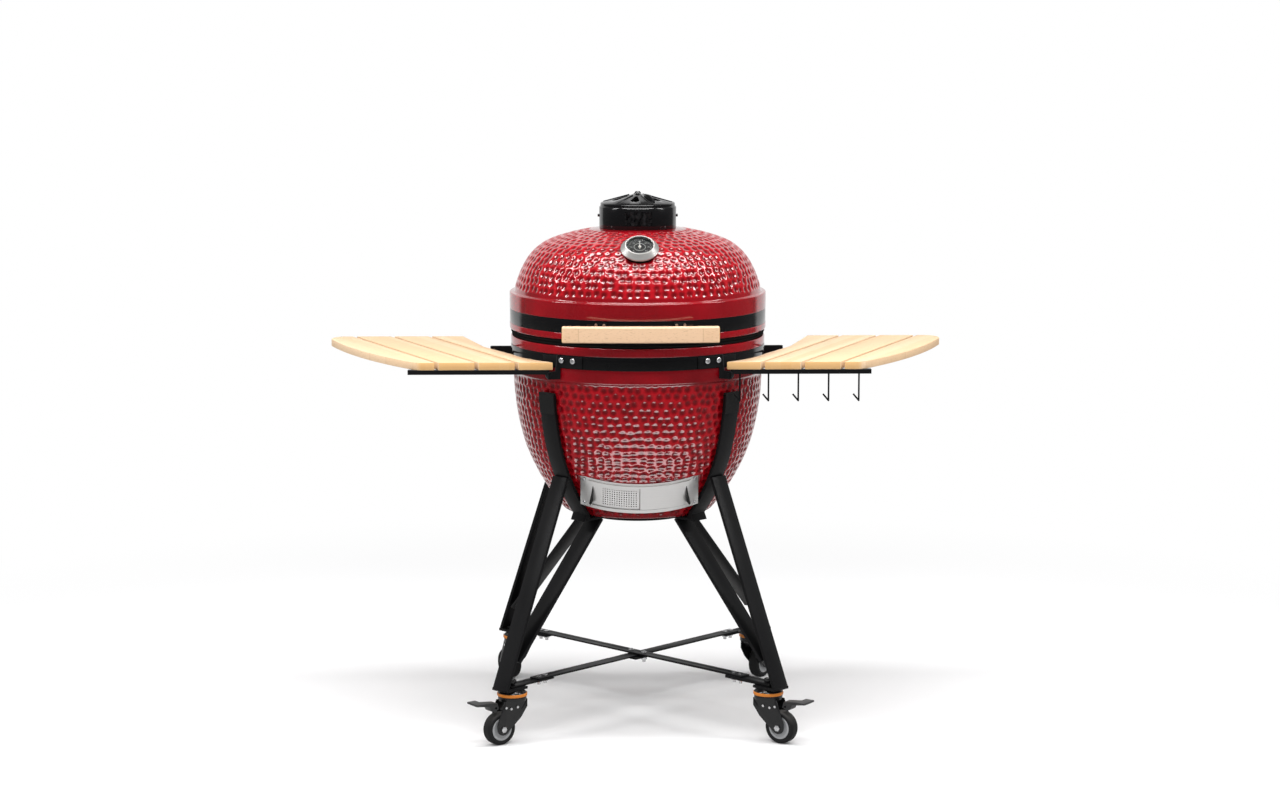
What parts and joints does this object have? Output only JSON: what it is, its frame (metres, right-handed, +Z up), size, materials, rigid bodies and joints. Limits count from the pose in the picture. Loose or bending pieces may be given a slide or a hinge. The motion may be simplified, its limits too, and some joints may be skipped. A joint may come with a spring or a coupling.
{
  "type": "ceramic charcoal grill",
  "caption": "Red dimpled ceramic kamado charcoal grill with domed hinged lid, bamboo side shelves, sliding draft doors and a black steel cart on swivel casters.",
  "frame": {"origin": "on the floor, on the vertical axis of the ceramic bowl", "axes": "+Z up, -Y towards the user (draft door and handle), +X to the user's right"},
  "size_m": [1.4888, 0.745, 1.256],
  "materials": {
    "glazed_ceramic": "gloss glaze, deep red",
    "fire_clay": "matt unglazed clay",
    "grate_iron": "rough cast",
    "grate_steel": "satin rods",
    "felt": "pressed felt",
    "black_steel": "black powder coat",
    "bamboo": "oiled, light",
    "bolt_steel": "bright zinc",
    "brushed_steel": "brushed",
    "black_paint": "matt black",
    "needle_paint": "satin",
    "gauge_glass": "clear",
    "orange_seal": "satin",
    "tyre_rubber": "satin rubber",
    "hub_plastic": "satin grey",
    "pedal_plastic": "satin black"
  },
  "bodies": {
    "base": {"base_bowl": "glazed_ceramic", "fire_box": "fire_clay", "fire_ring": "fire_clay", "charcoal_grate": "grate_iron", "cooking_grate": "grate_steel", "base_gasket": "felt", "base_band": "black_steel", "hinge_base_bracket": "black_steel", "hinge_pin": "bolt_steel", "door_frame": "brushed_steel", "shelf_brackets": "black_steel", "frame_bolts": "bolt_steel", "leg_frame_front_left": "black_steel", "leg_frame_front_right": "black_steel", "leg_frame_rear_left": "black_steel", "leg_frame_rear_right": "black_steel", "cradle_plate": "black_steel", "cradle_pads": "felt", "cross_brace": "black_steel", "brace_straps": "black_steel", "caster_tops": "black_steel", "caster_seals": "orange_seal"},
    "lid": {"dome_lid": "glazed_ceramic", "lid_gasket": "felt", "lid_band": "black_steel", "lid_handle": "bamboo", "handle_brackets": "black_steel", "handle_bolts": "bolt_steel", "gauge_seat": "black_paint", "gauge_case": "brushed_steel", "gauge_dial": "black_paint", "gauge_glass": "gauge_glass", "vent_collar": "black_steel", "vent_seat": "black_steel", "vent_pin": "bolt_steel", "hinge_lid_bracket": "black_steel", "hinge_springs": "bolt_steel"},
    "vent_cap": {"vent_cap": "black_steel"},
    "gauge_needle": {"gauge_needle": "needle_paint"},
    "solid_door": {"solid_door": "brushed_steel"},
    "mesh_door": {"mesh_door": "brushed_steel"},
    "right_shelf": {"right_shelf_boards": "bamboo", "right_shelf_arms": "black_steel", "tool_hooks": "black_steel"},
    "left_shelf": {"left_shelf_boards": "bamboo", "left_shelf_arms": "black_steel"},
    "caster_front_left": {"caster_fork_front_left": "black_steel"},
    "wheel_front_left": {"caster_tyre_front_left": "tyre_rubber", "caster_hub_front_left": "hub_plastic"},
    "brake_front_left": {"brake_pedal_front_left": "pedal_plastic"},
    "caster_front_right": {"caster_fork_front_right": "black_steel"},
    "wheel_front_right": {"caster_tyre_front_right": "tyre_rubber", "caster_hub_front_right": "hub_plastic"},
    "brake_front_right": {"brake_pedal_front_right": "pedal_plastic"},
    "caster_rear_right": {"caster_fork_rear_right": "black_steel"},
    "wheel_rear_right": {"caster_tyre_rear_right": "tyre_rubber", "caster_hub_rear_right": "hub_plastic"},
    "caster_rear_left": {"caster_fork_rear_left": "black_steel"},
    "wheel_rear_left": {"caster_tyre_rear_left": "tyre_rubber", "caster_hub_rear_left": "hub_plastic"}
  },
  "joints": [
    {"name": "lid_hinge", "type": "hinge", "parent": "base", "child": "lid", "pos_m": [0, 0.338, 0.926], "axis": [-1, 0, 0], "range_deg": [0, 75], "deforming": ["hinge_springs"]},
    {"name": "gauge_needle_turn", "type": "hinge", "parent": "lid", "child": "gauge_needle", "pos_m": [0, -0.22745, 1.14479], "axis": [0, -0.5446, 0.8387], "range_deg": [-230, 0]},
    {"name": "vent_cap_turn", "type": "hinge", "parent": "lid", "child": "vent_cap", "pos_m": [0, 0, 1.24], "axis": [0, 0, 1], "range_deg": [0, 30]},
    {"name": "solid_door_slide", "type": "hinge", "parent": "base", "child": "solid_door", "pos_m": [0, -0.02983, 0.62242], "axis": [0, -0.2924, 0.9563], "range_deg": [-27, 0]},
    {"name": "mesh_door_slide", "type": "hinge", "parent": "base", "child": "mesh_door", "pos_m": [0, -0.02983, 0.62242], "axis": [0, -0.2924, 0.9563], "range_deg": [0, 27]},
    {"name": "right_shelf_fold", "type": "hinge", "parent": "base", "child": "right_shelf", "pos_m": [0.205, -0.243, 0.85], "axis": [0.4147, 0.91, 0], "range_deg": [0, 15]},
    {"name": "left_shelf_fold", "type": "hinge", "parent": "base", "child": "left_shelf", "pos_m": [-0.205, -0.243, 0.85], "axis": [0.4147, -0.91, 0], "range_deg": [0, 84]},
    {"name": "caster_swivel_front_left", "type": "hinge", "parent": "base", "child": "caster_front_left", "pos_m": [-0.297, -0.297, 0.105], "axis": [0, 0, 1], "continuous": true},
    {"name": "wheel_spin_front_left", "type": "hinge", "parent": "caster_front_left", "child": "wheel_front_left", "pos_m": [-0.32693, -0.31875, 0.038], "axis": [0.5878, -0.809, 0], "continuous": true},
    {"name": "brake_press_front_left", "type": "hinge", "parent": "caster_front_left", "child": "brake_front_left", "pos_m": [-0.34069, -0.32874, 0.09], "axis": [0.5878, -0.809, 0], "range_deg": [0, 5]},
    {"name": "caster_swivel_front_right", "type": "hinge", "parent": "base", "child": "caster_front_right", "pos_m": [0.297, -0.297, 0.105], "axis": [0, 0, 1], "continuous": true},
    {"name": "wheel_spin_front_right", "type": "hinge", "parent": "caster_front_right", "child": "wheel_front_right", "pos_m": [0.32693, -0.31875, 0.038], "axis": [0.5878, 0.809, 0], "continuous": true},
    {"name": "brake_press_front_right", "type": "hinge", "parent": "caster_front_right", "child": "brake_front_right", "pos_m": [0.34069, -0.32874, 0.09], "axis": [0.5878, 0.809, 0], "range_deg": [0, 5]},
    {"name": "caster_swivel_rear_right", "type": "hinge", "parent": "base", "child": "caster_rear_right", "pos_m": [0.297, 0.297, 0.105], "axis": [0, 0, 1], "continuous": true},
    {"name": "wheel_spin_rear_right", "type": "hinge", "parent": "caster_rear_right", "child": "wheel_rear_right", "pos_m": [0.31742, 0.32785, 0.038], "axis": [-0.8339, 0.5519, 0], "continuous": true},
    {"name": "caster_swivel_rear_left", "type": "hinge", "parent": "base", "child": "caster_rear_left", "pos_m": [-0.297, 0.297, 0.105], "axis": [0, 0, 1], "continuous": true},
    {"name": "wheel_spin_rear_left", "type": "hinge", "parent": "caster_rear_left", "child": "wheel_rear_left", "pos_m": [-0.31742, 0.32785, 0.038], "axis": [-0.8339, -0.5519, 0], "continuous": true}
  ]
}
